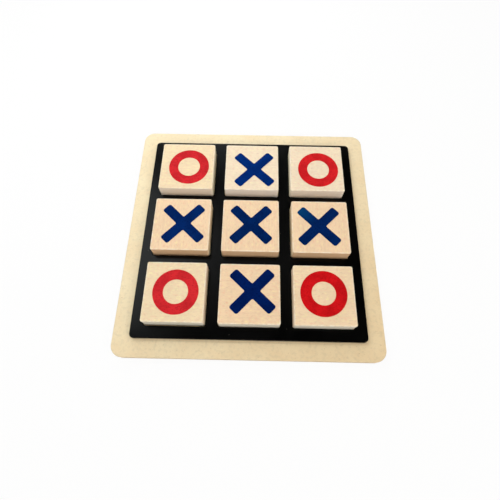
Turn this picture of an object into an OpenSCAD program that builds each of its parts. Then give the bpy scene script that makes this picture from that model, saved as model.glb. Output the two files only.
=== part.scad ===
// Tic tac toe set: a pale wooden base board, a black grid glued on it, and nine loose tiles that
// stand in the grid's windows. Four tiles carry a printed ring and five carry a printed cross.
// Millimetres, +Z up. The origin is the middle of the base board's underside, +X points to the
// player's right and +Y away from the player.

/* [Tiles] */
// Side of a square tile
tile_side = 40; // [34:1:60]
// Thickness of a tile
tile_t = 12; // [8:0.5:20]
// Radius of a tile's upright corners
tile_corner_r = 1.2; // [1:0.1:4]
// Radius of a tile's eased edges
tile_edge_r = 0.4; // [0.2:0.1:0.9]

/* [Grid] */
// Play between a tile and its window, on each side
tile_clearance = 0.5; // [0.2:0.1:1.5]
// Width of the bars between the windows
bar_w = 8; // [4:0.5:20]
// Width of the rim round the windows
rim_w = 8; // [4:0.5:20]
// Thickness of the grid
grid_t = 3; // [1.5:0.5:6]
// Radius of the grid's outer corners
grid_corner_r = 3; // [1:0.5:8]

/* [Base board] */
// Width of the bare border outside the grid
border_w = 11.8; // [4:0.1:30]
// Thickness of the base board
base_t = 6; // [3:0.5:12]
// Radius of the base board's upright corners
base_corner_r = 8; // [3:0.5:20]
// Radius of the base board's eased edges
base_edge_r = 0.6; // [0.2:0.1:1.4]

/* [Printed marks] */
// Bare wood between a ring and the tile's sides
ring_margin = 4.9; // [3:0.1:9]
// Width of a ring's band
ring_band_w = 6.9; // [2:0.1:9]
// How much further the ink of a heavily printed ring runs, on each side of its band
ring_spread = 0.25; // [0:0.05:0.5]
// Bare wood between a cross and the tile's sides
cross_margin = 5.2; // [3:0.1:9]
// Width of a cross's arms
cross_arm_w = 7.1; // [4:0.1:9]
// Radius of the corners at the arms' ends
cross_end_r = 1.6; // [0.4:0.1:1.9]
// Radius of the fillets where the arms meet
cross_fillet_r = 0.9; // [0.3:0.1:2]
// Thickness of the ink
ink_t = 0.15; // [0.05:0.05:0.3]
// One step of a mark's drift from the middle of its tile
drift_step = 0.25; // [0.05:0.05:0.3]

/* [Hidden] */
$fn = 96;

// The places in rows from the far left to the near right. Each has its name, the mark that is printed
// there, how far its tile leans to the right and away as a part of the play in its window, the mark's
// drift in steps to the right and away, the mark's turn in degrees, and 1 for a heavy print
PLACES = [
    ["far_left", "ring", [-0.25, 0.25], [5, -3], 0, 0],
    ["far_middle", "cross", [-0.25, 0], [7, -8], 1.5, 0],
    ["far_right", "ring", [-0.5, 0.25], [5, -5], 0, 0],
    ["middle_left", "cross", [0, 0.75], [5, 1], 1.5, 0],
    ["centre", "cross", [-0.25, 0.5], [1, 2], 0, 0],
    ["middle_right", "cross", [0, 0.25], [-4, 1], 0, 0],
    ["near_left", "ring", [0, 0.75], [3, -1], 0, 0],
    ["near_middle", "cross", [0.25, 0], [7, 6], 1.5, 0],
    ["near_right", "ring", [-0.5, -0.25], [-1, 4], 0, 1],
];

function place_name(place) = place[0];
function place_mark(place) = place[1];
function place_lean(place) = place[2];
function place_drift(place) = place[3];
function place_turn(place) = place[4];
function place_weight(place) = place[5];
function place_order(place) = search([place_name(place)], PLACES)[0];
function tile_node(place) = str("tile_", place_name(place));
function mark_node(place) = str(place_mark(place), "_", place_name(place));

// Nine windows in three rows, each a tile and its play
cells = 3;
window_side = tile_side + 2 * tile_clearance;
window_corner_r = tile_corner_r + tile_clearance;
pitch = window_side + bar_w;
grid_side = cells * window_side + (cells - 1) * bar_w + 2 * rim_w;
base_side = grid_side + 2 * border_w;

// Column and row of a place, counted to the right and away from the middle
function place_cell(place) =
    let (order = place_order(place), middle = floor(cells / 2))
        [order % cells - middle, middle - floor(order / cells)];

// Middle of a place's window, and of the tile that leans in it
function window_middle(place) = place_cell(place) * pitch;
function tile_middle(place) = window_middle(place) + place_lean(place) * tile_clearance;

// The tiles stand on the base board, and the ink lies on the tiles
seat_z = base_t;
mark_z = seat_z + tile_t;

// A ring and a cross each fill the tile's face up to their margin
ring_d = tile_side - 2 * ring_margin;
cross_reach = tile_side / 2 - cross_margin;
cross_arm_l = 2 * (sqrt(2) * (cross_reach - cross_end_r) + 2 * cross_end_r) - cross_arm_w;

// Rectangle about the origin with round corners
module round_rectangle(width, depth, corner_r) {
    square([width - 2 * corner_r, depth], center = true);
    square([width, depth - 2 * corner_r], center = true);
    for (x = [-1, 1], y = [-1, 1])
        translate([x * (width / 2 - corner_r), y * (depth / 2 - corner_r)])
            circle(corner_r);
}

// Upright round post whose rims are eased
module eased_post(height, post_r, edge_r) {
    rotate_extrude()
        intersection() {
            translate([0, height / 2])
                round_rectangle(2 * post_r, height, edge_r);
            square([post_r, height]);
        }
}

// Square block standing at z = 0, with round upright corners and eased edges
module eased_block(side, height, corner_r, edge_r) {
    straight = side - 2 * corner_r;
    for (turn = [0, 90])
        rotate([90, 0, turn])
            linear_extrude(straight, center = true)
                translate([0, height / 2])
                    round_rectangle(side, height, edge_r);
    for (x = [-1, 1], y = [-1, 1])
        translate([x * straight / 2, y * straight / 2, 0])
            eased_post(height, corner_r, edge_r);
}

module base_board() {
    color("wheat")
        eased_block(base_side, base_t, base_corner_r, base_edge_r);
}

module grid_frame() {
    color("black")
        translate([0, 0, seat_z])
            linear_extrude(grid_t)
                difference() {
                    round_rectangle(grid_side, grid_side, grid_corner_r);
                    for (place = PLACES)
                        translate(window_middle(place))
                            round_rectangle(window_side, window_side, window_corner_r);
                }
}

module tile(place) {
    color("peachpuff")
        translate([0, 0, seat_z])
            translate(tile_middle(place))
                eased_block(tile_side, tile_t, tile_corner_r, tile_edge_r);
}

module ring_print(spread) {
    color("crimson")
        linear_extrude(ink_t)
            difference() {
                circle(d = ring_d + 2 * spread);
                circle(d = ring_d - 2 * ring_band_w - 2 * spread);
            }
}

// Fillet between two arms, in the corner that faces +X and +Y
module cross_fillet() {
    translate([cross_arm_w / 2, cross_arm_w / 2])
        difference() {
            square(cross_fillet_r);
            translate([cross_fillet_r, cross_fillet_r])
                circle(cross_fillet_r);
        }
}

module cross_print() {
    color("navy")
        linear_extrude(ink_t)
            rotate(45) {
                for (turn = [0, 90])
                    rotate(turn)
                        round_rectangle(cross_arm_l, cross_arm_w, cross_end_r);
                for (turn = [0:90:270])
                    rotate(turn)
                        cross_fillet();
            }
}

module mark(place) {
    translate([0, 0, mark_z])
        translate(tile_middle(place) + place_drift(place) * drift_step)
            rotate(place_turn(place))
                if (place_mark(place) == "ring") ring_print(place_weight(place) * ring_spread);
                else cross_print();
}

base_board();
grid_frame();
for (place = PLACES) {
    tile(place);
    mark(place);
}
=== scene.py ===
"""Tic tac toe set: a pale fibre base board, a black painted grid glued on it, and nine loose wooden
tiles that stand in the grid's windows, each with a ring or a cross printed on its face."""
import math
from collections import namedtuple
from functools import cached_property

import bmesh
import bpy
from mathutils import Matrix, Vector


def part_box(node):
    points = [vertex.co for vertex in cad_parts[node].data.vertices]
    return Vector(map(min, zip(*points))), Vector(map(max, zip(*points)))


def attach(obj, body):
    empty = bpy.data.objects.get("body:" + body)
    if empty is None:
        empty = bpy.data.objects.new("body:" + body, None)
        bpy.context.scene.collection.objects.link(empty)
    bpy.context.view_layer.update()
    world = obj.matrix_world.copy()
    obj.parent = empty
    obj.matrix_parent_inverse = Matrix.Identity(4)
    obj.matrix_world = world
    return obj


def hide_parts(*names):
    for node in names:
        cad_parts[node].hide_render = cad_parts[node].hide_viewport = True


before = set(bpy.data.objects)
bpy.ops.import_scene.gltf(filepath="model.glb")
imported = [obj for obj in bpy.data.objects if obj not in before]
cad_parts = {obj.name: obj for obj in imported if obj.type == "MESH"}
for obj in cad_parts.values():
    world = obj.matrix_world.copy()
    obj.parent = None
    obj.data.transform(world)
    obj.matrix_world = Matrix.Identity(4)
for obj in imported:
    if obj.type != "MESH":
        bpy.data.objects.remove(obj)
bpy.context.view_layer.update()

MM = 0.001


def chip(red, green, blue):
    """A colour as it is read off a paint chip, 0 to 255, turned into the shader's linear light."""
    def linear(value):
        share = value / 255
        return share / 12.92 if share <= 0.04045 else ((share + 0.055) / 1.055) ** 2.4
    return (linear(red), linear(green), linear(blue), 1.0)


# Boards: their round corners and eased edges, the widths that the grid's windows leave, and how many
# windows make a row
BASE_CORNER = 8.0 * MM
BASE_EDGE = 0.6 * MM
GRID_CORNER = 3.0 * MM
GRID_RIM = 8.0 * MM
GRID_BAR = 8.0 * MM
WINDOW_CORNER = 1.7 * MM
PAINT_EDGE = 0.3 * MM
CELLS = 3

# Tiles
TILE_CORNER = 1.2 * MM
TILE_EDGE = 0.4 * MM

# Printed marks: the radius along the middle of a ring's band, a cross's arms and their turn in degrees,
# and the film's soft edge
RING_MIDDLE = 11.65 * MM
CROSS_ARM = 7.1 * MM
CROSS_END = 1.6 * MM
CROSS_FILLET = 0.9 * MM
CROSS_TURN = 45
INK_EDGE = 0.06 * MM

# Steps of a round corner, of an eased edge, of the film's edge and of a whole turn
CORNER_STEPS = 10
EDGE_STEPS = 4
INK_EDGE_STEPS = 2
ROUND_STEPS = 128

# How a face is told by the upright part of its normal
LEVEL_Z = 0.9999
UPRIGHT_Z = 0.0001
WALL_Z = 0.3

# The least angle between two faces at a rim, and the most between two that make one flat sheet
RIM_ANGLE = math.radians(60)
SHEET_ANGLE = math.radians(1)

# Wear: its name in a mesh, how strong it is where an eased edge meets the face, and how far it runs in
WEAR = "edge_wear"
RIM_WEAR = 0.8
BASE_WEAR = 2.2 * MM
# On the tiles the wear also lays a painted highlight along the eased edges.
TILE_WEAR_AND_HIGHLIGHT = 0.6 * MM

# Base board: its tones at the lit corner, what part of them is left at the other end, and how far from that
# corner the change starts and ends. The change is painted light falloff: paler where the window light falls
# nearest, darker further from it.
BOARD_FACE = chip(246, 229, 193)
# The walls' tone is darker than the top: partly the cut edge's own colour, partly painted shade.
BOARD_SHADED_WALL = chip(209, 193, 165)
BOARD_FLECK = chip(192, 152, 106)
BOARD_PAINTED_FALLOFF = (0.92, 0.86, 0.79, 1.0)
PAINTED_FALLOFF_START = 120 * MM
PAINTED_FALLOFF_END = 240 * MM

# Black paint, the board that shows through where it is thin, and dust
PAINT_BLACK = chip(1, 1, 1)
PAINT_CLOUD = chip(4, 4, 4)
PAINT_THIN = chip(52, 42, 30)
DUST = chip(150, 146, 138)

# Wood tones of the tiles' faces, and of their rubbed edges, which are pale enough to be a painted highlight
# as well
STRAW = chip(243, 219, 182)
CREAM = chip(243, 222, 194)
WHEAT = chip(243, 215, 179)
PEACH = chip(243, 211, 175)
RUBBED_WOOD_AND_HIGHLIGHT = chip(253, 245, 230)

# Wood tones of the walls: those along X and those along Y. They differ by row and side as painted light and
# shade, walls made paler or darker for how the light falls on each row; the middle row's browner fronts are
# partly end grain as well
FAR_WALLS_PAINTED_LIGHT = (chip(253, 240, 223), chip(253, 241, 214))
PALE_WALLS_PAINTED_LIGHT = (chip(254, 245, 235), chip(253, 241, 214))
MIDDLE_WALLS_PAINTED_LIGHT = (chip(232, 193, 154), chip(253, 228, 190))
NEAR_WALLS_PAINTED_LIGHT = (chip(228, 220, 203), chip(254, 231, 202))

# Inks
LIGHT_RED = chip(206, 39, 46)
RED = chip(208, 32, 37)
DEEP_RED = chip(204, 20, 25)
LIGHT_BLUE = chip(1, 38, 107)
CLEAR_BLUE = chip(2, 34, 93)
BLUE = chip(1, 31, 85)
DEEP_BLUE = chip(1, 25, 83)

# A teal patch on one cross: its tone, how far it runs from its middle, how much of it shows, and where it
# lies on a cross, counted from the cross's middle
TEAL_PATCH_BLUE = chip(5, 66, 114)
TEAL_PATCH_REACH = 16.0 * MM
TEAL_PATCH_SHARE = 0.7
TEAL_PATCH_FAR_LEFT = Vector((-13.0, 13.0, 0.0)) * MM

# Which way the grain runs, and how far a crooked mark is turned, in degrees from +X
ALONG_Y = 90
CROOKED = 1.5

# Each place: its mark and ink, the tones of its tile's face and walls, its grain, how far its mark is
# turned, and where its teal patch lies
Look = namedtuple("Look", "mark ink face walls grain_turn mark_turn thin_spot", defaults=(0, 0, None))
PLACES = {
    "far_left": Look("ring", LIGHT_RED, STRAW, FAR_WALLS_PAINTED_LIGHT),
    "far_middle": Look("cross", LIGHT_BLUE, CREAM, PALE_WALLS_PAINTED_LIGHT, mark_turn=CROOKED),
    "far_right": Look("ring", RED, CREAM, FAR_WALLS_PAINTED_LIGHT),
    "middle_left": Look("cross", CLEAR_BLUE, PEACH, MIDDLE_WALLS_PAINTED_LIGHT, ALONG_Y, CROOKED),
    "centre": Look("cross", BLUE, PEACH, MIDDLE_WALLS_PAINTED_LIGHT, ALONG_Y),
    "middle_right": Look("cross", BLUE, PEACH, MIDDLE_WALLS_PAINTED_LIGHT, ALONG_Y, thin_spot=TEAL_PATCH_FAR_LEFT),
    "near_left": Look("ring", LIGHT_RED, STRAW, NEAR_WALLS_PAINTED_LIGHT),
    "near_middle": Look("cross", DEEP_BLUE, PEACH, NEAR_WALLS_PAINTED_LIGHT, mark_turn=CROOKED),
    "near_right": Look("ring", DEEP_RED, WHEAT, NEAR_WALLS_PAINTED_LIGHT),
}

# The photograph's camera: what it looks at, from where, and its lens in the 500 pixel frame
FRAME_PX = 500
VIEW_TARGET = Vector((-0.6, -5.5, 6.0)) * MM
VIEW_AZIMUTH = 0.86
VIEW_ELEVATION = 66.75
VIEW_DISTANCE = 260.6 * MM
VIEW_ROLL = 0.33
FOCAL_PX = 356.7
AXIS_PX = (249.8, 239.2)
NEAREST_SEEN = 10 * MM

# Studio: a white floor just under the set, which runs to a round white wall, and how white both show
STAGE_R = 12.0
WALL_H = 11.0
STAGE_STEPS = 64
FLOOR_DROP = 0.1 * MM
STAGE_PAPER = chip(242, 242, 242)
STAGE_GLOW = 0.93

# Light: its colours, and between which heights the sky changes, from 0 at the horizon to 1 overhead
WHITE = (1.0, 1.0, 1.0)
DAYLIGHT = (0.94, 0.99, 1.0)
WARM_LIGHT = (1.0, 0.96, 0.89)
SKY_LOW = 0.35
SKY_HIGH = 0.85

# Which sockets of a mix node hold its two colours and the result
MIX_FIRST = 6
MIX_SECOND = 7
MIX_RESULT = 2


class Finish:
    """A surface or a sky that is put together step by step from nodes."""

    def __init__(self, owner):
        owner.use_nodes = True
        self.owner = owner
        self.tree = owner.node_tree
        self.shader = self.tree.nodes.get("Principled BSDF")

    @cached_property
    def place(self):
        """Where a point of the surface lies, in metres."""
        return self.node("ShaderNodeTexCoord").outputs["Object"]

    def node(self, kind, settings=None, **inputs):
        made = self.tree.nodes.new(kind)
        for name, value in (settings or {}).items():
            setattr(made, name, value)
        for name, value in inputs.items():
            self.feed(made.inputs[name.replace("_", " ")], value)
        return made

    def feed(self, socket, value):
        if isinstance(value, bpy.types.NodeSocket):
            self.tree.links.new(value, socket)
        else:
            socket.default_value = value

    def set(self, name, value):
        self.feed(self.shader.inputs[name], value)

    def noise(self, size, detail=2.0, turn=0.0, twist=0.0):
        """Soft random shade from 0 to 1. Its patches measure about size mm along X, Y and Z."""
        turned = self.node("ShaderNodeMapping", Vector=self.place, Rotation=(0.0, 0.0, math.radians(turn)))
        sized = self.node("ShaderNodeMapping", Vector=turned.outputs[0],
                          Scale=tuple(1 / (width * MM) for width in size))
        return self.node("ShaderNodeTexNoise", Vector=sized.outputs[0], Scale=1.0, Detail=detail,
                         Roughness=0.55, Distortion=twist).outputs["Fac"]

    def away_from(self, spot):
        """How far a point of the surface lies from a spot."""
        made = self.node("ShaderNodeVectorMath", {"operation": "DISTANCE"})
        self.feed(made.inputs[0], self.place)
        self.feed(made.inputs[1], spot)
        return made.outputs["Value"]

    def wear(self):
        """1 on the piece's edges, 0 away from them."""
        return self.node("ShaderNodeAttribute", {"attribute_name": WEAR}).outputs["Fac"]

    def span(self, value, start, end, low=0.0, high=1.0):
        """Runs from low to high while value runs from start to end."""
        return self.node("ShaderNodeMapRange", {"interpolation_type": "SMOOTHSTEP"}, Value=value,
                         From_Min=start, From_Max=end, To_Min=low, To_Max=high).outputs["Result"]

    def combine(self, kind, first, second):
        made = self.node("ShaderNodeMath", {"operation": kind})
        self.feed(made.inputs[0], first)
        self.feed(made.inputs[1], second)
        return made.outputs[0]

    def times(self, first, second):
        return self.combine("MULTIPLY", first, second)

    def plus(self, first, second):
        return self.combine("ADD", first, second)

    def blend(self, share, first, second, kind="MIX"):
        """From the first colour to the second, or to their product, as share goes from 0 to 1."""
        made = self.node("ShaderNodeMix", {"data_type": "RGBA", "blend_type": kind})
        self.feed(made.inputs["Factor"], share)
        self.feed(made.inputs[MIX_FIRST], first)
        self.feed(made.inputs[MIX_SECOND], second)
        return made.outputs[MIX_RESULT]

    def lay(self, colour, over, pattern, start, end, share=1.0):
        """Lays a tone over a colour: none of it where the pattern is at start, that share at end."""
        return self.blend(self.span(pattern, start, end, high=share), colour, over)

    def lay_on_edges(self, colour, over, pattern, start, end, share):
        """Lays a tone over a colour in the same way, on the worn edges alone."""
        return self.blend(self.times(self.wear(), self.span(pattern, start, end, high=share)), colour, over)

    def relief(self, height, depth):
        """Lets a pattern rise from the surface by a depth in mm."""
        made = self.node("ShaderNodeBump", Height=height, Strength=1.0, Distance=depth * MM)
        self.set("Normal", made.outputs["Normal"])


def surface(name):
    return Finish(bpy.data.materials.new(name))


def tinted(tone, red, green, blue):
    return (tone[0] * red, tone[1] * green, tone[2] * blue, 1.0)


def darker(tone, share):
    return tinted(tone, share, share, share)


def fibre_board(name, tone, painted_light_corner):
    """Bare pressed fibre board: short matted fibres, soft blotches, a few brown flecks, rubbed edges and
    painted light falloff, paler near one corner and darker away from it, where the window light falls less."""
    finish = surface(name)
    fibres_along_x = finish.noise(size=(2.4, 0.5, 0.5), detail=3.0, twist=0.6)
    fibres_along_y = finish.noise(size=(0.5, 2.4, 0.5), detail=3.0, twist=0.6)
    fibres = finish.times(fibres_along_x, fibres_along_y)
    blotch = finish.noise(size=(2.2, 2.2, 2.2), detail=3.0)
    flecks = finish.noise(size=(0.9, 0.6, 0.6), detail=1.0, twist=1.0)
    cloud = finish.noise(size=(18, 18, 18))
    rubbing = finish.noise(size=(4, 4, 4))
    colour = finish.lay(tone, tinted(tone, 0.98, 0.94, 0.91), cloud, start=0.3, end=0.7)
    colour = finish.lay(colour, darker(tone, 0.8), blotch, start=0.45, end=0.75, share=0.5)
    colour = finish.lay(colour, darker(tone, 0.74), fibres, start=0.16, end=0.03, share=0.6)
    colour = finish.lay(colour, tinted(tone, 1.04, 1.115, 1.23), fibres, start=0.32, end=0.5, share=0.6)
    colour = finish.lay(colour, BOARD_FLECK, flecks, start=0.68, end=0.78, share=0.6)
    colour = finish.lay_on_edges(colour, darker(tone, 0.82), rubbing, start=0.35, end=0.75, share=0.3)
    # Painted light falloff: the board darkens with distance from the lit corner.
    painted_falloff = finish.span(finish.away_from(painted_light_corner), PAINTED_FALLOFF_START, PAINTED_FALLOFF_END)
    finish.set("Base Color", finish.blend(painted_falloff, colour, BOARD_PAINTED_FALLOFF, "MULTIPLY"))
    finish.set("Roughness", finish.span(fibres, start=0.1, end=0.4, low=0.75, high=0.62))
    finish.set("Specular IOR Level", 0.2)
    finish.relief(fibres, depth=0.06)
    return finish.owner


def black_paint():
    """Satin black paint over fibre board, with a faint skin, a little dust and thin edges."""
    finish = surface("black_paint")
    skin = finish.noise(size=(0.8, 0.8, 0.8), detail=4.0)
    cloud = finish.noise(size=(22, 22, 22))
    dust = finish.noise(size=(1.5, 1.5, 1.5), detail=0.0)
    rubbing = finish.noise(size=(1.5, 1.5, 1.5))
    colour = finish.lay(PAINT_BLACK, PAINT_CLOUD, cloud, start=0.35, end=0.65)
    colour = finish.lay_on_edges(colour, PAINT_THIN, rubbing, start=0.45, end=0.8, share=0.4)
    colour = finish.lay(colour, DUST, dust, start=0.86, end=0.9, share=0.6)
    finish.set("Base Color", colour)
    finish.set("Roughness", finish.span(cloud, start=0.3, end=0.7, low=0.2, high=0.25))
    finish.set("Specular IOR Level", 0.1)
    finish.relief(skin, depth=0.012)
    return finish.owner


def tile_face(name, tone, grain_turn):
    """Sanded pale wood: long soft streaks, a pink and yellow mottle, short dark flecks and rubbed edges
    that also stand as a painted highlight along the eased edges.
    """
    finish = surface(name)
    streaks = finish.noise(size=(18, 1.1, 1.1), detail=4.0, turn=grain_turn)
    flecks = finish.noise(size=(2.6, 0.42, 0.42), turn=grain_turn)
    mottle = finish.noise(size=(2.6, 1.8, 1.8), detail=3.0, turn=grain_turn, twist=0.5)
    cloud = finish.noise(size=(11, 11, 11))
    rubbing = finish.noise(size=(3, 3, 3))
    colour = finish.lay(tone, darker(tone, 0.94), cloud, start=0.3, end=0.7)
    colour = finish.lay(colour, tinted(tone, 0.95, 0.84, 0.8), mottle, start=0.52, end=0.72)
    colour = finish.lay(colour, tinted(tone, 1.02, 1.09, 0.95), mottle, start=0.48, end=0.28)
    colour = finish.lay(colour, darker(tone, 0.84), streaks, start=0.45, end=0.75, share=0.4)
    colour = finish.lay(colour, darker(tone, 0.64), flecks, start=0.57, end=0.74, share=0.55)
    # Rubbed edges, pale enough to be a painted highlight along the eased edges as well.
    colour = finish.lay_on_edges(colour, RUBBED_WOOD_AND_HIGHLIGHT, rubbing, start=0.3, end=0.7, share=0.7)
    finish.set("Base Color", colour)
    finish.set("Roughness", finish.span(streaks, start=0.3, end=0.7, low=0.58, high=0.7))
    finish.set("Specular IOR Level", 0.2)
    finish.relief(finish.plus(flecks, streaks), depth=0.03)
    return finish.owner


def tile_wall(name, tone, grain_turn):
    """Sawn wood: growth layers along the tile, fine upright saw lines and dark pores."""
    finish = surface(name)
    layers = finish.noise(size=(20, 6, 0.7), detail=3.0, turn=grain_turn)
    saw_lines = finish.noise(size=(0.35, 0.35, 9))
    pores = finish.noise(size=(1.2, 0.4, 0.4), turn=grain_turn)
    colour = finish.lay(tone, darker(tone, 0.88), layers, start=0.3, end=0.7)
    colour = finish.lay(colour, darker(tone, 0.74), saw_lines, start=0.55, end=0.8, share=0.3)
    colour = finish.lay(colour, darker(tone, 0.62), pores, start=0.62, end=0.75, share=0.35)
    finish.set("Base Color", colour)
    finish.set("Roughness", finish.span(layers, start=0.3, end=0.7, low=0.7, high=0.8))
    finish.set("Specular IOR Level", 0.15)
    finish.relief(finish.plus(saw_lines, pores), depth=0.04)
    return finish.owner


def printed_ink(name, tone, grain_turn, thin_spot=None):
    """Screen-printed ink: an uneven film that thins along the wood's grain, and a teal patch round a spot
    if there is one."""
    finish = surface(name)
    flecks = finish.noise(size=(2.6, 0.42, 0.42), turn=grain_turn)
    mottle = finish.noise(size=(1.3, 0.8, 0.8), detail=3.0, turn=grain_turn)
    cloud = finish.noise(size=(8, 8, 8))
    colour = finish.lay(tinted(tone, 1.09, 1.2, 1.16), darker(tone, 0.88), cloud, start=0.35, end=0.65)
    colour = finish.lay(colour, darker(tone, 0.66), mottle, start=0.5, end=0.72, share=0.9)
    colour = finish.lay(colour, tinted(tone, 1.06, 1.5, 1.3), flecks, start=0.45, end=0.25, share=0.9)
    if thin_spot:
        distance = finish.away_from(thin_spot)
        colour = finish.lay(colour, TEAL_PATCH_BLUE, distance, start=TEAL_PATCH_REACH, end=0.0, share=TEAL_PATCH_SHARE)
    finish.set("Base Color", colour)
    finish.set("Roughness", finish.span(mottle, start=0.3, end=0.7, low=0.5, high=0.62))
    finish.set("Specular IOR Level", 0.01)
    finish.relief(finish.plus(flecks, mottle), depth=0.012)
    return finish.owner


def flat_sheet(bm, width, depth):
    """Adds a flat rectangle about the origin and gives its corner points."""
    corners = bmesh.ops.create_grid(bm, x_segments=1, y_segments=1, size=0.5)["verts"]
    bmesh.ops.scale(bm, vec=(width, depth, 1.0), verts=corners)
    return corners


def round_corners(bm, corners, radius, steps):
    """Rounds corner points of a flat sheet."""
    bmesh.ops.bevel(bm, geom=corners, offset=radius, offset_type="OFFSET", affect="VERTICES",
                    segments=steps, profile=0.5, material=-1)


def rounded_outline(bm, low, high, corner_r):
    """Adds a flat rectangle between two corners, with its own corners rounded."""
    corners = flat_sheet(bm, high.x - low.x, high.y - low.y)
    middle = (low + high) / 2
    bmesh.ops.translate(bm, vec=(middle.x, middle.y, low.z), verts=corners)
    round_corners(bm, corners, corner_r, CORNER_STEPS)


def thicken(bm, height):
    """Makes a flat sheet a solid of that height."""
    made = bmesh.ops.extrude_face_region(bm, geom=bm.faces[:])
    top = [item for item in made["geom"] if isinstance(item, bmesh.types.BMVert)]
    bmesh.ops.translate(bm, vec=(0, 0, height), verts=top)
    bmesh.ops.recalc_face_normals(bm, faces=bm.faces[:])


def ease_rims(bm, edge_r, steps):
    """Rounds the edges between a solid's flat faces and its walls."""
    rims = [edge for edge in bm.edges if edge.calc_face_angle() > RIM_ANGLE]
    bmesh.ops.bevel(bm, geom=rims, offset=edge_r, offset_type="OFFSET", affect="EDGES",
                    segments=steps, profile=0.5, material=-1)


def is_level(face):
    return abs(face.normal.z) > LEVEL_Z


def is_upright(face):
    return abs(face.normal.z) < UPRIGHT_Z


def is_wall(face):
    """True for the upright faces and the steepest part of the eased edges."""
    return abs(face.normal.z) < WALL_Z


def set_wear(bm, faces, amount):
    layer = bm.verts.layers.float[WEAR]
    for face in faces:
        for vert in face.verts:
            vert[layer] = amount


def mark_wear(bm):
    """Notes for each point how worn it is: 1 on the eased edges, 0 on the faces and walls."""
    bm.verts.layers.float.new(WEAR)
    set_wear(bm, bm.faces, 1.0)
    set_wear(bm, [face for face in bm.faces if is_level(face) or is_upright(face)], 0.0)


def widen_wear(bm, width):
    """Lets the wear run out over that width on the top and the underside."""
    level = [face for face in bm.faces if is_level(face)]
    set_wear(bm, level, RIM_WEAR)
    bmesh.ops.inset_region(bm, faces=level, thickness=width, use_even_offset=True)
    set_wear(bm, level, 0.0)


def smooth_curves(bm):
    """Shades the curved faces smooth, and leaves those that are square to an axis flat."""
    for face in bm.faces:
        face.smooth = max(abs(value) for value in face.normal) < LEVEL_Z


def worn_block(low, high, corner_r, edge_r, wear_width):
    """A block between two corners, with round upright corners and eased, worn edges."""
    bm = bmesh.new()
    rounded_outline(bm, low, high, corner_r)
    thicken(bm, high.z - low.z)
    ease_rims(bm, edge_r, EDGE_STEPS)
    mark_wear(bm)
    widen_wear(bm, wear_width)
    smooth_curves(bm)
    return bm


def as_object(bm, name, materials):
    mesh = bpy.data.meshes.new(name)
    bm.to_mesh(mesh)
    bm.free()
    for material in materials:
        mesh.materials.append(material)
    made = bpy.data.objects.new(name, mesh)
    bpy.context.scene.collection.objects.link(made)
    return made


def finished(bm, name, body, node, materials):
    """Makes the mesh a piece that rides on a body and stands for a node."""
    piece = as_object(bm, name, materials)
    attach(piece, body)
    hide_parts(node)


def make_base():
    low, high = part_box("base_board")
    bm = worn_block(low, high, BASE_CORNER, BASE_EDGE, BASE_WEAR)
    for face in filter(is_wall, bm.faces):
        face.material_index = 1
    # The far left corner, nearest the window light, is where the painted light falloff starts.
    painted_light_corner = Vector((low.x, high.y, high.z))
    # The walls get the darker copy of the board: partly the cut edge's colour, partly painted shade.
    materials = [fibre_board("fibre_board", BOARD_FACE, painted_light_corner),
                 fibre_board("fibre_board_shaded_wall", BOARD_SHADED_WALL, painted_light_corner)]
    finished(bm, "fibre_base", "board", "base_board", materials)


def make_grid():
    """One sheet whose outline and windows are drawn first, then filled and thickened."""
    low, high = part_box("grid_frame")
    bm = bmesh.new()
    rounded_outline(bm, low, high, GRID_CORNER)
    window = (high.x - low.x - 2 * GRID_RIM - (CELLS - 1) * GRID_BAR) / CELLS
    for column in range(CELLS):
        for row in range(CELLS):
            corner = Vector((low.x + GRID_RIM + column * (window + GRID_BAR),
                             low.y + GRID_RIM + row * (window + GRID_BAR), low.z))
            rounded_outline(bm, corner, corner + Vector((window, window, 0)), WINDOW_CORNER)
    bmesh.ops.delete(bm, geom=bm.faces[:], context="FACES_ONLY")
    bmesh.ops.triangle_fill(bm, use_beauty=True, edges=bm.edges[:])
    bmesh.ops.dissolve_limit(bm, angle_limit=SHEET_ANGLE, verts=bm.verts[:], edges=bm.edges[:])
    thicken(bm, high.z - low.z)
    ease_rims(bm, PAINT_EDGE, EDGE_STEPS)
    mark_wear(bm)
    smooth_curves(bm)
    finished(bm, "painted_grid", "board", "grid_frame", [black_paint()])


def make_tile(place, look):
    low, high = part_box("tile_" + place)
    bm = worn_block(low, high, TILE_CORNER, TILE_EDGE, TILE_WEAR_AND_HIGHLIGHT)
    for face in filter(is_wall, bm.faces):
        face.material_index = 1 if abs(face.normal.y) > abs(face.normal.x) else 2
    # The wall tones carry painted light and shade for each row and side.
    front_tone, flank_tone = look.walls
    materials = [tile_face("tile_face_" + place, look.face, look.grain_turn),
                 tile_wall("tile_front_" + place, front_tone, look.grain_turn),
                 tile_wall("tile_flank_" + place, flank_tone, look.grain_turn)]
    finished(bm, "wood_tile_" + place, place + "_tile", "tile_" + place, materials)


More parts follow.
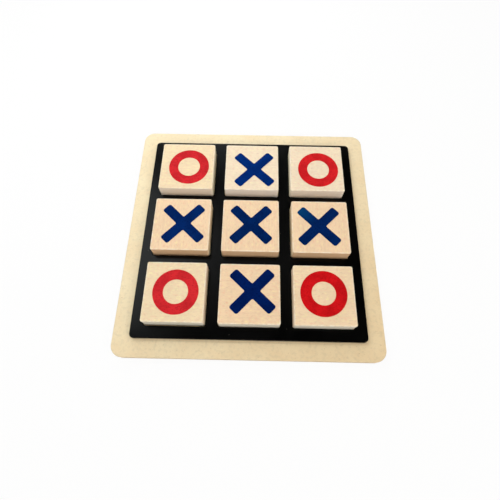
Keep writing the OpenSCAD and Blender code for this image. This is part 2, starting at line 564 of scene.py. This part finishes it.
def make_ring(place, look):
    """The band's section, with soft upper edges, spun round the ring's middle."""
    low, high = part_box("ring_" + place)
    middle = (low + high) / 2
    band = high.x - low.x - 2 * RING_MIDDLE
    bm = bmesh.new()
    section = flat_sheet(bm, band, high.z - low.z)
    bmesh.ops.rotate(bm, matrix=Matrix.Rotation(math.radians(90), 3, "X"), verts=section)
    bmesh.ops.translate(bm, vec=(middle.x + RING_MIDDLE, middle.y, middle.z), verts=section)
    upper = [vert for vert in section if vert.co.z > middle.z]
    round_corners(bm, upper, INK_EDGE, INK_EDGE_STEPS)
    bmesh.ops.delete(bm, geom=bm.faces[:], context="FACES_ONLY")
    bmesh.ops.spin(bm, geom=bm.verts[:] + bm.edges[:], cent=(middle.x, middle.y, 0), axis=(0, 0, 1),
                   angle=2 * math.pi, steps=ROUND_STEPS, use_merge=True)
    bmesh.ops.recalc_face_normals(bm, faces=bm.faces[:])
    smooth_curves(bm)
    film = printed_ink("red_ink_" + place, look.ink, look.grain_turn)
    finished(bm, "ink_ring_" + place, place + "_tile", "ring_" + place, [film])


def make_cross(place, look):
    """Nine cells less the four at the corners make an upright cross, which is rounded, turned and
    thickened. Its arms reach as far as the node's box."""
    low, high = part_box("cross_" + place)
    middle = (low + high) / 2
    turn = math.radians(CROSS_TURN + look.mark_turn)
    across, along = sorted((math.sin(turn), math.cos(turn)))
    half_box = (high.x - low.x) / 2
    half_arm = CROSS_ARM / 2
    reach = (half_box - CROSS_END - (half_arm - CROSS_END) * across) / along + CROSS_END
    lines = (-reach, -half_arm, half_arm, reach)
    cells = len(lines) - 1
    bm = bmesh.new()
    bmesh.ops.create_grid(bm, x_segments=cells, y_segments=cells, size=cells / 2)
    for vert in bm.verts:
        vert.co.x = lines[round(vert.co.x + cells / 2)]
        vert.co.y = lines[round(vert.co.y + cells / 2)]
    corners = [face for face in bm.faces if min(map(abs, face.calc_center_median().xy)) > half_arm]
    bmesh.ops.delete(bm, geom=corners, context="FACES")
    bmesh.ops.dissolve_faces(bm, faces=bm.faces[:])
    ends = [vert for vert in bm.verts if max(map(abs, vert.co.xy)) > (half_arm + reach) / 2]
    bends = [vert for vert in bm.verts if vert not in ends]
    round_corners(bm, ends, CROSS_END, CORNER_STEPS)
    round_corners(bm, bends, CROSS_FILLET, CORNER_STEPS)
    bmesh.ops.rotate(bm, matrix=Matrix.Rotation(turn, 3, "Z"), verts=bm.verts[:])
    bmesh.ops.translate(bm, vec=(middle.x, middle.y, low.z), verts=bm.verts[:])
    thicken(bm, high.z - low.z)
    ease_rims(bm, INK_EDGE, INK_EDGE_STEPS)
    smooth_curves(bm)
    thin_spot = middle + look.thin_spot if look.thin_spot else None
    film = printed_ink("blue_ink_" + place, look.ink, look.grain_turn, thin_spot)
    finished(bm, "ink_cross_" + place, place + "_tile", "cross_" + place, [film])


def stage_white():
    """White paper that shows as white and keeps a soft shadow of the set."""
    finish = surface("stage_white")
    finish.set("Base Color", STAGE_PAPER)
    finish.set("Roughness", 0.9)
    finish.set("Specular IOR Level", 0.0)
    path = finish.node("ShaderNodeLightPath")
    seen = finish.plus(path.outputs["Is Camera Ray"], path.outputs["Is Glossy Ray"])
    seen = finish.plus(seen, path.outputs["Is Transmission Ray"])
    glow = finish.node("ShaderNodeEmission", Color=(1, 1, 1, 1), Strength=1.0)
    mixed = finish.node("ShaderNodeMixShader", Fac=finish.times(seen, STAGE_GLOW))
    finish.feed(mixed.inputs[1], finish.shader.outputs[0])
    finish.feed(mixed.inputs[2], glow.outputs[0])
    finish.feed(finish.tree.nodes["Material Output"].inputs["Surface"], mixed.outputs[0])
    return finish.owner


def staged(bm, name, material):
    stand = as_object(bm, name, [material])
    return stand


def make_stage():
    """The floor that the set stands on, and the wall far round it, which takes no part in the lighting."""
    white = stage_white()
    bm = bmesh.new()
    bmesh.ops.create_circle(bm, cap_ends=True, segments=STAGE_STEPS, radius=STAGE_R)
    bmesh.ops.translate(bm, vec=(0, 0, -FLOOR_DROP), verts=bm.verts[:])
    staged(bm, "floor", white)
    bm = bmesh.new()
    bmesh.ops.create_circle(bm, segments=STAGE_STEPS, radius=STAGE_R)
    made = bmesh.ops.extrude_edge_only(bm, edges=bm.edges[:])
    top = [item for item in made["geom"] if isinstance(item, bmesh.types.BMVert)]
    bmesh.ops.translate(bm, vec=(0, 0, WALL_H), verts=top)
    wall = staged(bm, "wall", white)
    wall.visible_diffuse = False
    wall.visible_shadow = False


def make_sky(low_level, high_level):
    """Soft light from all round, which goes from one level near the horizon to another overhead."""
    sky = Finish(bpy.data.worlds.new("studio_sky"))
    bpy.context.scene.world = sky.owner
    direction = sky.node("ShaderNodeTexCoord").outputs["Generated"]
    height = sky.node("ShaderNodeSeparateXYZ", Vector=direction).outputs["Z"]
    background = sky.tree.nodes["Background"]
    sky.feed(background.inputs["Color"], (1, 1, 1, 1))
    sky.feed(background.inputs["Strength"], sky.span(height, SKY_LOW, SKY_HIGH, low_level, high_level))


def outward(azimuth, elevation):
    """The direction from the set to a lamp or the camera. Azimuth 0 is the near side and 90 the right."""
    around = math.radians(azimuth)
    up = math.radians(elevation)
    return Vector((math.sin(around) * math.cos(up), -math.cos(around) * math.cos(up), math.sin(up)))


def make_lamp(name, azimuth, elevation, distance, width, share, colour=WHITE):
    """Square soft lamp that faces the set and gives its top that share of a plain white's brightness."""
    out = outward(azimuth, elevation)
    lamp = bpy.data.lights.new(name, "AREA")
    lamp.shape = "SQUARE"
    lamp.size = width
    lamp.color = colour
    lamp.energy = math.pi ** 2 * share * distance ** 2 / out.z
    holder = bpy.data.objects.new(name, lamp)
    holder.location = out * distance
    holder.rotation_mode = "QUATERNION"
    holder.rotation_quaternion = out.to_track_quat("Z", "Y")
    bpy.context.scene.collection.objects.link(holder)


def make_camera():
    data = bpy.data.cameras.new("camera")
    data.lens = FOCAL_PX * data.sensor_width / FRAME_PX
    data.shift_x = (FRAME_PX / 2 - AXIS_PX[0]) / FRAME_PX
    data.shift_y = (AXIS_PX[1] - FRAME_PX / 2) / FRAME_PX
    data.clip_start = NEAREST_SEEN
    back = outward(VIEW_AZIMUTH, VIEW_ELEVATION)
    roll = Matrix.Rotation(math.radians(VIEW_ROLL), 3, "Z")
    turn = back.to_track_quat("Z", "Y").to_matrix() @ roll
    camera = bpy.data.objects.new("camera", data)
    camera.matrix_world = Matrix.Translation(VIEW_TARGET + back * VIEW_DISTANCE) @ turn.to_4x4()
    bpy.context.scene.collection.objects.link(camera)
    bpy.context.scene.camera = camera


make_base()
make_grid()
for place, look in PLACES.items():
    make_tile(place, look)
    if look.mark == "ring":
        make_ring(place, look)
    else:
        make_cross(place, look)

make_stage()
make_sky(low_level=0.58, high_level=0.04)
make_lamp("left_window", azimuth=238, elevation=55, distance=0.5, width=0.26, share=0.28, colour=DAYLIGHT)
make_lamp("far_window", azimuth=190, elevation=31, distance=0.4, width=0.2, share=0.14, colour=DAYLIGHT)
make_lamp("skylight", azimuth=195, elevation=70, distance=0.8, width=0.34, share=0.04)
make_lamp("near_fill", azimuth=5, elevation=44, distance=1.5, width=0.45, share=0.245, colour=WARM_LIGHT)
make_lamp("right_fill", azimuth=75, elevation=44, distance=1.2, width=0.4, share=0.16, colour=WARM_LIGHT)
make_camera()
bpy.context.scene.view_settings.view_transform = "Standard"
